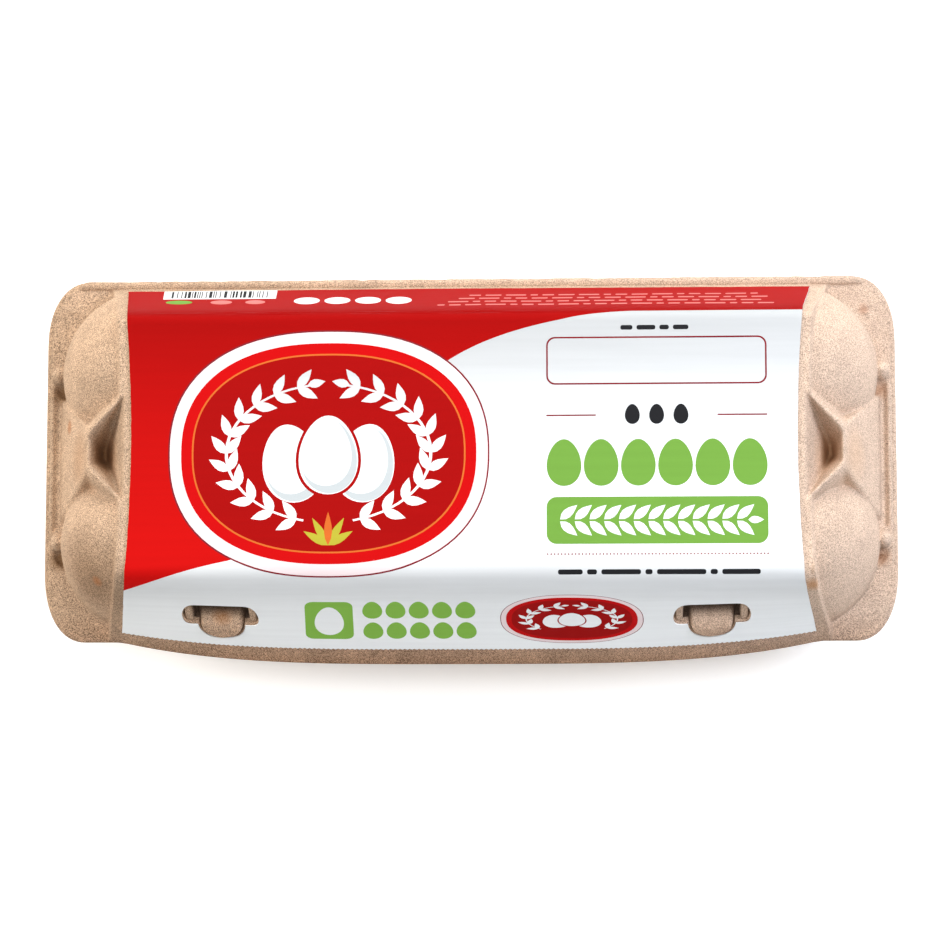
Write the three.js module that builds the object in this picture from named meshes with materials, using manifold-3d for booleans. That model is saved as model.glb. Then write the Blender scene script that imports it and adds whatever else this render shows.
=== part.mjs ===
// A shut egg carton for two rows of five eggs: a moulded-pulp lid on a moulded-pulp tray, with a
// printed paper label glued over the lid. Millimetres, +Z up, the lock side faces -Y.
import * as THREE from 'three';
import Module from 'manifold-3d';
import { mergeVertices } from 'three/addons/utils/BufferGeometryUtils.js';

const wasm = await Module();
wasm.setup();

// Overall sizes
const HALF_LENGTH = 131;
const FRONT_Y = 56.3;
const BACK_Y = 54.6;
const TOP_Z = 70;
const SEAM_Z = 35;
const SEAM_GAP = 0.3;
const RIM_Z = 36.6;
const FLATNESS = 0.01;

// Plan outline: rounded corners, and a front rim that bows out between the corners
const CORNER_X = 118;
const CORNER_Y = 34.3;
const CORNER_POWER = 2.2;
const BOW = 6.9;
const BOW_HALF_SPAN = 107;
const BOW_POWER = 3.5;

// Lid: a flat top between two long folds, and sloping panels below them
const FOLD_Y = 39.9;
const FRONT_FOLD_BLEND = 8;
const BACK_FOLD_BLEND = 5;
const PANEL_FOOT_Z = 36;
const BACK_PANEL_FOOT_Y = 54;

// Lid ends: the label saddle stops at a ridge, and two egg domes and a pocket lie beyond it
const RIDGE_X = 103.3;
const RIDGE_SLOPE = 4.7;
const EGG_PITCH_X = 49.3;
const EGG_ROW_Y = 26;
const DOME_RADIUS = 27.4;
const DOME_FOOT_Z = 36.2;
const DOME_RISE = 32.6;
const DOME_STEPS = 9;
const DOME_SIDES = 40;
const WALL_INNER_X = 97.3;
const WALL_FOOT = { z: 35.6, innerX: WALL_INNER_X, innerHalf: 24, outerX: 127.3, outerHalf: 19.8 };
const WALL_TOP = { z: 66.3, innerX: WALL_INNER_X, innerHalf: 21, outerX: 113, outerHalf: 6.4 };
const POCKET_FLOOR = { z: 50, innerX: 108.5, innerHalf: 2.8, outerX: 109.4, outerHalf: 2.2 };
const POCKET_MOUTH = { z: 72, innerX: 101.6, innerHalf: 16.6, outerX: 114.6, outerHalf: 5.5 };
const LUG = { innerX: 122, footX: 129.2, topX: 128.4, y: 25.9, footHalf: 2.9, topHalf: 1.7, topZ: 43 };
const CHANNEL = { innerX: 126.5, outerX: 128.5, half: 22, depth: 1.1 };

// Locks: a tab of the tray stands behind each hole in the front panel, and its knob fills the hole
const LOCK_X = 74;
const HOLE_TOP = 12.2;
const HOLE_WING_FOOT = 21.7;
const HOLE_FOOT = 28.5;
const HOLE_WING_HALF = 11.4;
const HOLE_HALF = 7;
const PULP_WALL = 2.2;
const TAB_GAP = 0.5;
const TAB_THICKNESS = 1.8;
const TAB_HALF_WIDTH = 13.4;
const TAB_TOP = 8;
const TAB_FOOT_Z = 35.4;
const KNOB_CLEARANCE = 0.5;
const KNOB_PROUD = 1.4;
const KNOB_BEVEL = 1.5;

// Label
const PAPER = 0.35;
const PAPER_GAP = 0.35;
const LABEL_HALF_TOP = 99.8;
const LABEL_WAIST = 1;
const LABEL_FLARE_FRONT = 6.2;
const LABEL_FLARE_BACK = 5.4;
const LABEL_FOOT_SHARE = 0.81;

// Tray
const RIM_THICKNESS = 2;
const TRAY_LEDGE = 0.6;
const HINGE_HALF_LENGTH = 122;
const HINGE_OUTER_Y = 56.4;
const HINGE_TOP_Z = 38.4;
const CUP_SIDES = 24;
const CUP_TOP_HALF_X = 24.3;
const CUP_TOP_HALF_Y = 26;
const CUP_LEVELS = [
  { z: 0, size: 0.56, power: 2.2 },
  { z: 1.3, size: 0.64, power: 2.2 },
  { z: 6, size: 0.74, power: 2.3 },
  { z: 13, size: 0.845, power: 2.4 },
  { z: 21, size: 0.93, power: 2.7 },
  { z: 28, size: 0.98, power: 3 },
  { z: SEAM_Z - RIM_THICKNESS + 0.5, size: 1, power: 3.2 },
];
const WEB_FOOT_Z = 20;
const WEB_FOOT_HALF = 5;
const WEB_TOP_HALF = 10;

// Grid lines shared by the lid and the label, mirrored about the middle
const X_LINES = [0, 24, 42, 58, 72, 84, 94];
const CORNER_LINES = [104, 107, 111, 118, 120.5, 123.2, 125.6, 127.7, 129.3, 130.4, HALF_LENGTH];
const Y_LINES = [0, 20, 31.6, 35.4, 38, 39.9, 41.8, 44.4, 48];

const smoothMin = (a, b, blend) => {
  const share = Math.max(blend - Math.abs(a - b), 0) / blend;
  return Math.min(a, b) - (share * share * blend) / 4;
};
const mirrored = (lines) => [...lines.slice(1).reverse().map((value) => -value), ...lines];

// How far the front rim stands out of its straight line at x
function bowAt(x) {
  const share = Math.min(Math.abs(x) / BOW_HALF_SPAN, 1);
  return BOW * (1 - share ** BOW_POWER);
}

// The rim's y at x: corners round in towards the ends
function rimY(x, isFront) {
  const straight = isFront ? FRONT_Y + bowAt(x) : BACK_Y;
  const beyond = Math.min(Math.max(Math.abs(x) - CORNER_X, 0) / (HALF_LENGTH - CORNER_X), 1);
  const round = (1 - beyond ** CORNER_POWER) ** (1 / CORNER_POWER);
  return CORNER_Y + (straight - CORNER_Y) * round;
}

// Height of the label saddle: the top and the two long panels
function saddleHeight(x, y) {
  const isFront = y < 0;
  const foot = isFront ? FRONT_Y + bowAt(x) : BACK_PANEL_FOOT_Y;
  const slope = (TOP_Z - PANEL_FOOT_Z) / (foot - FOLD_Y);
  const panel = TOP_Z - (Math.abs(y) - FOLD_Y) * slope;
  return smoothMin(TOP_Z, panel, isFront ? FRONT_FOLD_BLEND : BACK_FOLD_BLEND);
}

// The y of a nominal grid line at x: lines beyond a fold spread out with the rim
function lineY(x, nominalY) {
  const isFront = nominalY < 0;
  const size = Math.abs(nominalY);
  const straight = isFront ? FRONT_Y + bowAt(x) : BACK_Y;
  const spread = size <= FOLD_Y ? size : FOLD_Y + ((size - FOLD_Y) * (straight - FOLD_Y)) / (FRONT_Y - FOLD_Y);
  return Math.sign(nominalY) * spread;
}

// A buffer geometry from vertices and triangles
function geometryOf(vertices, triangles) {
  const geometry = new THREE.BufferGeometry();
  geometry.setAttribute('position', new THREE.Float32BufferAttribute(vertices.flat(), 3));
  geometry.setIndex(triangles.flat());
  return geometry;
}

// The two triangles of each cell of a grid with rows of vertices, starting at vertex number first
function gridTriangles(rows, columns, first, isFlipped) {
  const triangles = [];
  for (let row = 0; row + 1 < rows; row++) {
    for (let column = 0; column + 1 < columns; column++) {
      const a = first + row * columns + column;
      const b = a + columns;
      triangles.push(isFlipped ? [a, a + 1, b] : [a, b, a + 1]);
      triangles.push(isFlipped ? [b, a + 1, b + 1] : [a + 1, b, b + 1]);
    }
  }
  return triangles;
}

// Numbers of the vertices round a grid's edge, in order
function gridBorder(rows, columns) {
  const border = [];
  for (let row = 0; row < rows; row++) border.push(row * columns);
  for (let column = 1; column < columns; column++) border.push((rows - 1) * columns + column);
  for (let row = rows - 2; row >= 0; row--) border.push(row * columns + columns - 1);
  for (let column = columns - 2; column > 0; column--) border.push(column);
  return border;
}

// A solid from a buffer geometry, with its shared vertices merged
function solidOf(geometry) {
  const bare = geometry.index ? geometry.toNonIndexed() : geometry.clone();
  bare.deleteAttribute('normal');
  bare.deleteAttribute('uv');
  const merged = mergeVertices(bare, 1e-4);
  return new wasm.Manifold(
    new wasm.Mesh({
      numProp: 3,
      vertProperties: merged.attributes.position.array,
      triVerts: new Uint32Array(merged.index.array),
    }),
  );
}

// A buffer geometry from a solid, without edges that turn by less than the tolerance
function geometryFrom(solid) {
  const mesh = solid.simplify(FLATNESS).getMesh();
  const geometry = new THREE.BufferGeometry();
  geometry.setAttribute('position', new THREE.BufferAttribute(mesh.vertProperties, 3));
  geometry.setIndex(new THREE.BufferAttribute(mesh.triVerts, 1));
  return geometry;
}

// The frame of the front panel at a lock: x across, y up the slope from the fold, z out of the panel
function lockFrame(side) {
  const x = side * LOCK_X;
  const run = FRONT_Y + bowAt(x) - FOLD_Y;
  const drop = TOP_Z - PANEL_FOOT_Z;
  const turn = (bowAt(x - 1) - bowAt(x + 1)) / 4;
  const up = new THREE.Vector3(0, run, drop).normalize();
  const across = new THREE.Vector3(1, turn, 0);
  across.addScaledVector(up, -across.dot(up)).normalize();
  const out = new THREE.Vector3().crossVectors(across, up);
  return new THREE.Matrix4().makeBasis(across, up, out).setPosition(x, -FOLD_Y, TOP_Z);
}

// A shape in a lock's frame pushed through from one depth to another, in and out of the panel
function lockPrism(shape, side, from, to, bevel = 0) {
  const depth = to - from - 2 * bevel;
  const geometry = new THREE.ExtrudeGeometry(shape, {
    depth,
    curveSegments: 8,
    bevelEnabled: bevel > 0,
    bevelThickness: bevel,
    bevelSize: bevel,
    bevelOffset: -bevel,
    bevelSegments: 2,
  });
  geometry.translate(0, 0, from + bevel);
  geometry.applyMatrix4(lockFrame(side));
  return solidOf(geometry);
}

// Outline of a lock hole: a slot with rounded wings, and a half-round lobe below it
function holeShape() {
  const wing = 2.5;
  const shape = new THREE.Shape();
  shape.moveTo(-HOLE_HALF, -HOLE_TOP);
  shape.quadraticCurveTo(-HOLE_WING_HALF, -HOLE_TOP, -HOLE_WING_HALF, -HOLE_TOP - 2 * wing);
  shape.quadraticCurveTo(-HOLE_WING_HALF, -HOLE_WING_FOOT, -HOLE_WING_HALF + wing, -HOLE_WING_FOOT);
  shape.lineTo(-HOLE_HALF, -HOLE_WING_FOOT);
  shape.bezierCurveTo(-HOLE_HALF + 1, -HOLE_FOOT, -HOLE_HALF + 3, -HOLE_FOOT, 0, -HOLE_FOOT);
  shape.bezierCurveTo(HOLE_HALF - 3, -HOLE_FOOT, HOLE_HALF - 1, -HOLE_FOOT, HOLE_HALF, -HOLE_WING_FOOT);
  shape.lineTo(HOLE_WING_HALF - wing, -HOLE_WING_FOOT);
  shape.quadraticCurveTo(HOLE_WING_HALF, -HOLE_WING_FOOT, HOLE_WING_HALF, -HOLE_TOP - 2 * wing);
  shape.quadraticCurveTo(HOLE_WING_HALF, -HOLE_TOP, HOLE_HALF, -HOLE_TOP);
  shape.closePath();
  return shape;
}

// Outline of a knob: flat on top, half round below, clear of the hole's lobe
function knobShape() {
  const half = HOLE_HALF - KNOB_CLEARANCE;
  const foot = HOLE_FOOT - KNOB_CLEARANCE;
  const shape = new THREE.Shape();
  shape.moveTo(-half, -HOLE_TOP - KNOB_CLEARANCE);
  shape.lineTo(-half, -HOLE_WING_FOOT);
  shape.bezierCurveTo(-half + 1, -foot, -half + 3, -foot, 0, -foot);
  shape.bezierCurveTo(half - 3, -foot, half - 1, -foot, half, -HOLE_WING_FOOT);
  shape.lineTo(half, -HOLE_TOP - KNOB_CLEARANCE);
  shape.closePath();
  return shape;
}

function rectangle(left, bottom, right, top) {
  return new THREE.Shape([
    new THREE.Vector2(left, bottom),
    new THREE.Vector2(right, bottom),
    new THREE.Vector2(right, top),
    new THREE.Vector2(left, top),
  ]);
}

// The outline of the lid and the tray as a shape, spread lengthwise and moved out at the back
function rimShape(lengthScale, backExtra) {
  const xs = mirrored([...X_LINES, ...CORNER_LINES]);
  const front = xs.map((x) => new THREE.Vector2(x * lengthScale, -rimY(x, true)));
  const back = xs.map((x) => new THREE.Vector2(x * lengthScale, rimY(x, false) + backExtra)).reverse();
  return new THREE.Shape([...front, ...back]);
}

function plateSolid(shape, fromZ, toZ) {
  const plate = new THREE.ExtrudeGeometry(shape, { depth: toZ - fromZ, bevelEnabled: false });
  plate.translate(0, 0, fromZ);
  return solidOf(plate);
}

// A convex block from two levels, each with an inner and an outer edge across the carton's end
function endBlock(side, low, high) {
  const points = [low, high].flatMap(({ z, innerX, innerHalf, outerX, outerHalf, y = 0 }) => [
    [side * innerX, y - innerHalf, z],
    [side * innerX, y + innerHalf, z],
    [side * outerX, y - outerHalf, z],
    [side * outerX, y + outerHalf, z],
  ]);
  return wasm.Manifold.hull(points);
}

// The label saddle: top and long panels, with sloping faces from its ridges down to the ends
function makeSaddle(baseZ) {
  const shares = mirrored([...X_LINES, RIDGE_X, RIDGE_X + 1]);
  const ys = mirrored([...Y_LINES, FRONT_Y - 0.05]);
  const footZ = baseZ + 0.3;
  const top = [];
  const ridgeX = (side, level) => side * (RIDGE_X + (TOP_Z - level) / RIDGE_SLOPE);
  for (const nominalX of shares) {
    for (const nominalY of ys) {
      const beyond = Math.abs(nominalX) - RIDGE_X;
      const heightAt = (x) => Math.max(saddleHeight(x, lineY(x, nominalY)), footZ + 0.3);
      let x = nominalX;
      for (let pass = 0; beyond === 0 && pass < 4; pass++) x = ridgeX(Math.sign(nominalX), heightAt(x));
      if (beyond > 0) x = ridgeX(Math.sign(nominalX), footZ);
      top.push([x, lineY(x, nominalY), beyond > 0 ? footZ : heightAt(x)]);
    }
  }
  const border = gridBorder(shares.length, ys.length);
  const under = border.map((index) => [top[index][0], top[index][1], baseZ]);
  const vertices = [...top, ...under, [0, 0, baseZ]];
  const middle = vertices.length - 1;
  const triangles = gridTriangles(shares.length, ys.length, 0, false);
  const underOf = (place) => top.length + (place % border.length);
  border.forEach((index, place) => {
    const next = border[(place + 1) % border.length];
    triangles.push([index, underOf(place), next], [next, underOf(place), underOf(place + 1)]);
    triangles.push([underOf(place), middle, underOf(place + 1)]);
  });
  return solidOf(geometryOf(vertices, triangles));
}

// The dome over a corner egg: a turned profile with a hollow fillet at its foot
function makeDome(centreX, centreY) {
  const profile = [
    new THREE.Vector2(0, RIM_Z - 1),
    new THREE.Vector2(DOME_RADIUS + 2.2, RIM_Z - 1),
    new THREE.Vector2(DOME_RADIUS + 1.9, RIM_Z + 0.1),
    new THREE.Vector2(DOME_RADIUS + 0.7, RIM_Z + 0.7),
  ];
  for (let step = 1; step <= DOME_STEPS; step++) {
    const height = Math.sin((step / DOME_STEPS) * (Math.PI / 2));
    const radius = step === DOME_STEPS ? 0 : DOME_RADIUS * (1 - height ** 1.613) ** 0.4545;
    profile.push(new THREE.Vector2(radius, DOME_FOOT_Z + DOME_RISE * height));
  }
  const dome = new THREE.LatheGeometry(profile, DOME_SIDES);
  dome.rotateX(Math.PI / 2);
  dome.translate(centreX, centreY, 0);
  const solid = solidOf(dome);
  if (centreY < 0) return solid;
  const backPanel = new THREE.Vector3(0, TOP_Z - PANEL_FOOT_Z, BACK_PANEL_FOOT_Y - FOLD_Y).normalize();
  const reach = backPanel.y * FOLD_Y + backPanel.z * TOP_Z;
  return solid.trimByPlane([0, -backPanel.y, -backPanel.z], -reach + 0.1);
}

// The lid: rim plate, saddle, end domes and walls, cut by pockets, channels and the locks
function makeLid() {
  const underZ = SEAM_Z + SEAM_GAP / 2;
  let lid = plateSolid(rimShape(1, 0), underZ, RIM_Z).add(makeSaddle(underZ + 0.1));
  for (const side of [-1, 1]) {
    for (const row of [-1, 1]) {
      lid = lid.add(makeDome(side * 2 * EGG_PITCH_X, row * EGG_ROW_Y));
      const lug = { innerX: LUG.innerX, y: row * LUG.y };
      const [foot, top] = [LUG.footHalf, LUG.topHalf];
      const lugFoot = { ...lug, innerHalf: foot, outerHalf: foot, outerX: LUG.footX, z: RIM_Z - 1 };
      const lugTop = { ...lug, innerHalf: top, outerHalf: top, outerX: LUG.topX, z: LUG.topZ };
      lid = lid.add(endBlock(side, lugFoot, lugTop));
    }
    lid = lid.add(endBlock(side, WALL_FOOT, WALL_TOP));
    lid = lid.subtract(endBlock(side, POCKET_FLOOR, POCKET_MOUTH));
    const channel = { ...CHANNEL, innerHalf: CHANNEL.half, outerHalf: CHANNEL.half };
    lid = lid.subtract(endBlock(side, { ...channel, z: RIM_Z - CHANNEL.depth }, { ...channel, z: RIM_Z + 1 }));
  }
  const slotHalf = TAB_HALF_WIDTH + TAB_GAP;
  const slotDepth = PULP_WALL + 2 * TAB_GAP + TAB_THICKNESS;
  for (const side of [-1, 1]) {
    const slot = rectangle(-slotHalf, -46, slotHalf, -TAB_TOP + TAB_GAP);
    lid = lid.subtract(lockPrism(slot, side, -slotDepth, -PULP_WALL));
    lid = lid.subtract(lockPrism(holeShape(), side, -PULP_WALL - TAB_GAP, 8));
  }
  return geometryFrom(lid);
}

// One cup: rounded squares that shrink towards a flat foot
function makeCup(centreX, centreY) {
  const vertices = [];
  for (const { z, size, power } of CUP_LEVELS) {
    for (let side = 0; side < CUP_SIDES; side++) {
      const angle = (2 * Math.PI * (side + 0.5)) / CUP_SIDES;
      const [cos, sin] = [Math.cos(angle), Math.sin(angle)];
      const reach = size / (Math.abs(cos) ** power + Math.abs(sin) ** power) ** (1 / power);
      vertices.push([centreX + CUP_TOP_HALF_X * reach * cos, centreY + CUP_TOP_HALF_Y * reach * sin, z]);
    }
  }
  const triangles = [];
  for (let level = 0; level + 1 < CUP_LEVELS.length; level++) {
    for (let side = 0; side < CUP_SIDES; side++) {
      const a = level * CUP_SIDES + side;
      const b = level * CUP_SIDES + ((side + 1) % CUP_SIDES);
      triangles.push([a, b, a + CUP_SIDES], [b, b + CUP_SIDES, a + CUP_SIDES]);
    }
  }
  const last = (CUP_LEVELS.length - 1) * CUP_SIDES;
  for (let side = 1; side + 1 < CUP_SIDES; side++) {
    triangles.push([0, side + 1, side], [last, last + side, last + side + 1]);
  }
  return solidOf(geometryOf(vertices, triangles));
}

// A web that joins two neighbouring cups: a bar with sloping sides
function makeWeb(length, centreX, centreY, turn) {
  const section = new THREE.Shape([
    new THREE.Vector2(-WEB_FOOT_HALF, WEB_FOOT_Z),
    new THREE.Vector2(WEB_FOOT_HALF, WEB_FOOT_Z),
    new THREE.Vector2(WEB_TOP_HALF, SEAM_Z - 1),
    new THREE.Vector2(-WEB_TOP_HALF, SEAM_Z - 1),
  ]);
  const bar = new THREE.ExtrudeGeometry(section, { depth: length, bevelEnabled: false });
  bar.translate(0, 0, -length / 2);
  bar.rotateX(Math.PI / 2);
  bar.rotateZ(turn);
  bar.translate(centreX, centreY, 0);
  return solidOf(bar);
}

// The tray's rim: a plate a little longer than the lid, turned up along the back as the hinge
function makeTrayRim() {
  const topZ = SEAM_Z - SEAM_GAP / 2;
  const outline = rimShape(1 + TRAY_LEDGE / HALF_LENGTH, HINGE_OUTER_Y - BACK_Y);
  const rim = plateSolid(outline, topZ - RIM_THICKNESS, topZ);
  const hinge = new THREE.Shape([
    new THREE.Vector2(-HINGE_HALF_LENGTH, BACK_Y + SEAM_GAP),
    new THREE.Vector2(HINGE_HALF_LENGTH, BACK_Y + SEAM_GAP),
    new THREE.Vector2(HINGE_HALF_LENGTH - 1.5, HINGE_OUTER_Y - 0.05),
    new THREE.Vector2(1.5 - HINGE_HALF_LENGTH, HINGE_OUTER_Y - 0.05),
  ]);
  return rim.add(plateSolid(hinge, topZ - 1, HINGE_TOP_Z));
}

// The tray: rim, ten cups, the webs between them and the two lock tabs with their knobs
function makeTray() {
  let tray = makeTrayRim();
  const rows = [-EGG_ROW_Y, EGG_ROW_Y];
  for (let column = -2; column <= 2; column++) {
    const x = column * EGG_PITCH_X;
    for (const y of rows) {
      tray = tray.add(makeCup(x, y));
      if (column < 2) tray = tray.add(makeWeb(EGG_PITCH_X, x + EGG_PITCH_X / 2, y, Math.PI / 2));
    }
    tray = tray.add(makeWeb(2 * EGG_ROW_Y, x, 0, 0));
  }
  const tabBack = -PULP_WALL - TAB_GAP - TAB_THICKNESS;
  for (const side of [-1, 1]) {
    const drop = TOP_Z - PANEL_FOOT_Z;
    const tabFoot = ((TOP_Z - TAB_FOOT_Z) * Math.hypot(FRONT_Y + bowAt(LOCK_X) - FOLD_Y, drop)) / drop;
    const tab = rectangle(-TAB_HALF_WIDTH, -tabFoot, TAB_HALF_WIDTH, -TAB_TOP);
    tray = tray.add(lockPrism(tab, side, tabBack, tabBack + TAB_THICKNESS));
    tray = tray.add(lockPrism(knobShape(), side, tabBack + 0.5, KNOB_PROUD, KNOB_BEVEL));
  }
  return geometryFrom(tray);
}

// The label: a thin sheet that follows the lid's saddle at a small gap, on the lid's own grid lines
function makeLabel() {
  const footY = FOLD_Y + (FRONT_Y - FOLD_Y) * LABEL_FOOT_SHARE;
  const xs = mirrored([...X_LINES, LABEL_HALF_TOP]);
  const ys = mirrored([...Y_LINES, footY]);
  const outer = [];
  const under = [];
  for (const nominalX of xs) {
    for (const nominalY of ys) {
      const size = Math.abs(nominalY);
      const flare = nominalY < 0 ? LABEL_FLARE_FRONT : LABEL_FLARE_BACK;
      const waist = LABEL_WAIST * Math.min(size / FOLD_Y, 1) ** 2;
      const widening = waist + (flare * Math.max(size - FOLD_Y, 0)) / (FRONT_Y - FOLD_Y);
      const isEdge = Math.abs(nominalX) === LABEL_HALF_TOP;
      const x = nominalX + (isEdge ? Math.sign(nominalX) * widening : 0);
      const y = lineY(x, nominalY);
      const step = 0.05;
      const slope = (saddleHeight(x, y + step) - saddleHeight(x, y - step)) / (2 * step);
      const long = Math.hypot(1, slope);
      const lifted = (gap) => [x, y - (slope / long) * gap, saddleHeight(x, y) + gap / long];
      under.push(lifted(PAPER_GAP));
      outer.push(lifted(PAPER_GAP + PAPER));
    }
  }
  const border = gridBorder(xs.length, ys.length);
  const triangles = [
    ...gridTriangles(xs.length, ys.length, 0, false),
    ...gridTriangles(xs.length, ys.length, outer.length, true),
  ];
  border.forEach((index, place) => {
    const next = border[(place + 1) % border.length];
    triangles.push([index, outer.length + index, next], [next, outer.length + index, outer.length + next]);
  });
  let label = solidOf(geometryOf([...outer, ...under], triangles));
  for (const side of [-1, 1]) label = label.subtract(lockPrism(holeShape(), side, -PULP_WALL, 8));
  return geometryFrom(label);
}

const pulp = { color: 0xd9b89c, roughness: 0.95, metalness: 0 };
const lid = new THREE.Mesh(makeLid(), new THREE.MeshStandardMaterial(pulp));
lid.name = 'lid';
const tray = new THREE.Mesh(makeTray(), new THREE.MeshStandardMaterial(pulp));
tray.name = 'tray';
const paper = { color: 0xf2f4f3, roughness: 0.5, metalness: 0 };
const label = new THREE.Mesh(makeLabel(), new THREE.MeshStandardMaterial(paper));
label.name = 'label';

const carton = new THREE.Group();
carton.name = 'egg_carton';
carton.position.y = (FRONT_Y + BOW - HINGE_OUTER_Y) / 2;
carton.add(lid, tray, label);

export default carton;
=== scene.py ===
"""A shut egg carton: moulded-pulp lid and tray, and a printed paper label over the lid."""
from math import atan2, cos, degrees, floor, hypot, pi, radians, sin, sqrt

import bmesh
import bpy
import numpy as np
from mathutils import Matrix, Vector, geometry


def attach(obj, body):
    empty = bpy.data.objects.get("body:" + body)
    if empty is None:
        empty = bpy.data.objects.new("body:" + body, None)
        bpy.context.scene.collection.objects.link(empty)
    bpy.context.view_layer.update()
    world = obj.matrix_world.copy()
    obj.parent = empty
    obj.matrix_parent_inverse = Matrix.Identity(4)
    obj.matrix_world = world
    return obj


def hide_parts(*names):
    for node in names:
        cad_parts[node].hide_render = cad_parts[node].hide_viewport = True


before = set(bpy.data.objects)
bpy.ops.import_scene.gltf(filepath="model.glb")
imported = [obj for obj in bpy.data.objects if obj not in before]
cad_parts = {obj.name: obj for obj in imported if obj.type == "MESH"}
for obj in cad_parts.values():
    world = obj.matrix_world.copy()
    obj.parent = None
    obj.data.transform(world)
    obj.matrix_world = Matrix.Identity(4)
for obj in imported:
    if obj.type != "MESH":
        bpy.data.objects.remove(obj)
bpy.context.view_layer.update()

MM = 0.001

# Sizes of the carton in mm, in its own coordinates: y is 0 midway between the rows of eggs
HALF_LENGTH = 131.0
FRONT_Y = 56.3
BACK_Y = 54.6
TOP_Z = 70.0
RIM_Z = 36.6
LID_UNDER_Z = 35.15
TRAY_TOP_Z = 34.85
CORNER_X, CORNER_Y, CORNER_POWER = 118.0, 34.3, 2.2
BOW, BOW_HALF_SPAN, BOW_POWER = 6.9, 107.0, 3.5
FOLD_Y = 39.9
FRONT_FOLD_BLEND = 8.0
BACK_FOLD_BLEND = 5.0
PANEL_FOOT_Z = 36.0
BACK_PANEL_FOOT_Y = 54.0
RIDGE_X, RIDGE_SLOPE = 103.3, 4.7
EGG_PITCH_X = 49.3
EGG_ROW_Y = 26.0
DOME_RADIUS, DOME_FOOT_Z, DOME_RISE = 27.4, 36.2, 32.6
POCKET_X, POCKET_FLOOR_Z, POCKET_ARM_Z = 110.2, 51.5, 67.6
ARM_ROOT, PIT_X = (113.6, 6.4), 126.2
LOCK_X = 74.0
HOLE_TOP, HOLE_WING_FOOT, HOLE_FOOT = 12.2, 21.7, 28.5
HOLE_WING_HALF, HOLE_HALF = 11.4, 7.0
PULP_WALL, TAB_GAP, TAB_THICKNESS = 2.2, 0.5, 1.8
TAB_HALF_WIDTH, TAB_TOP, TAB_FOOT_Z, SLOT_FOOT = 13.4, 8.0, 35.4, 46
KNOB_PROUD, KNOB_POWER = 1.4, 2.1
PAPER_LIFT, PAPER = 0.35, 0.35
LABEL_HALF_TOP, LABEL_WAIST = 99.2, 1.8
LABEL_FLARE_FRONT, LABEL_FLARE_BACK = 6.2, 5.4
LABEL_FOOT_SHARE, FLAP_SPREAD = 0.81, 0.0011
SHEET_HALF, SHEET_STEP = 110, 2.5
RIM_THICKNESS, RIM_HALF_WIDTH, TRAY_LEDGE = 2.0, 58.0, 0.6
CUP_HALF_X, CUP_HALF_Y, CUP_SIDES = 24.3, 26.0, 64
WEB_HALF_LENGTH, WEB_ARCH_HALF, WEB_TOP_Z = 26.0, 14.0, 33.0
HINGE_HALF_LENGTH, HINGE_OUTER_Y, HINGE_TAPER = 122.0, 56.4, 2.5
HINGE_CORE_Y, HINGE_CORE_Z = 53.6, 36.2
SADDLE_END, CALM_END = 95, 97
SHIFT_Y = (FRONT_Y + BOW - HINGE_OUTER_Y) / 2


# Shape helpers -------------------------------------------------------------------------------
def smooth_max(a, b, blend):
    share = np.maximum(blend - np.abs(a - b), 0) / blend
    return np.maximum(a, b) + share * share * blend / 4


def smooth_min(a, b, blend):
    return -smooth_max(-a, -b, blend)


def ease(value):
    value = np.clip(value, 0, 1)
    return value * value * (3 - 2 * value)


def bow_at(x):
    """How far the front rim stands out of its straight line at x."""
    return BOW * (1 - np.minimum(np.abs(x) / BOW_HALF_SPAN, 1) ** BOW_POWER)


def straight_y(x, is_front):
    return FRONT_Y + bow_at(x) if is_front else BACK_Y + 0 * x


def rim_y(x, is_front):
    straight = straight_y(x, is_front)
    beyond = np.clip((np.abs(x) - CORNER_X) / (HALF_LENGTH - CORNER_X), 0, 1)
    return CORNER_Y + (straight - CORNER_Y) * (1 - beyond**CORNER_POWER) ** (1 / CORNER_POWER)


def saddle_height(x, y):
    """Height of the top and the two long panels."""
    front = y < 0
    foot = np.where(front, FRONT_Y + bow_at(x), BACK_PANEL_FOOT_Y)
    slope = (TOP_Z - PANEL_FOOT_Z) / (foot - FOLD_Y)
    panel = TOP_Z - (np.abs(y) - FOLD_Y) * slope
    blend = np.where(front, FRONT_FOLD_BLEND, BACK_FOLD_BLEND)
    return smooth_min(TOP_Z + 0 * panel, panel, blend)


def lumps(x, y, size, seed):
    """Smooth unevenness from -1 to 1 over a plane, with lumps of one size in mm."""
    rng = np.random.default_rng(seed)
    lattice = rng.uniform(-1, 1, (int(300 / size) + 4, int(300 / size) + 4))
    across, along = (x + 145) / size, (y + 145) / size
    i, j = np.floor(across).astype(int), np.floor(along).astype(int)
    s, t = ease(across - i), ease(along - j)
    near = lattice[i, j] * (1 - s) + lattice[i + 1, j] * s
    far = lattice[i, j + 1] * (1 - s) + lattice[i + 1, j + 1] * s
    return near * (1 - t) + far * t


def beyond_line(x, y, start, end):
    """Distance in plan from a line, positive on the side away from the middle of the end."""
    run, rise = end[0] - start[0], end[1] - start[1]
    long = hypot(run, rise)
    side = 1 if run < 0 else -1
    return side * ((x - start[0]) * rise - (y - start[1]) * run) / long


def pocket_height(far_x, far_y):
    """Height of the funnel between the two domes of an end."""
    inner = POCKET_FLOOR_Z + (POCKET_X - far_x) * 2.15
    outer = POCKET_FLOOR_Z + (far_x - POCKET_X) * 5.0
    arm = POCKET_ARM_Z + beyond_line(far_x, far_y, (113.0, 5.2), (102.3, 14.6)) * 3.4
    walls = smooth_max(smooth_max(inner, outer, 5.0), arm, 2.5)
    return smooth_max(walls, POCKET_FLOOR_Z + 0 * walls, 2.4)


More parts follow.
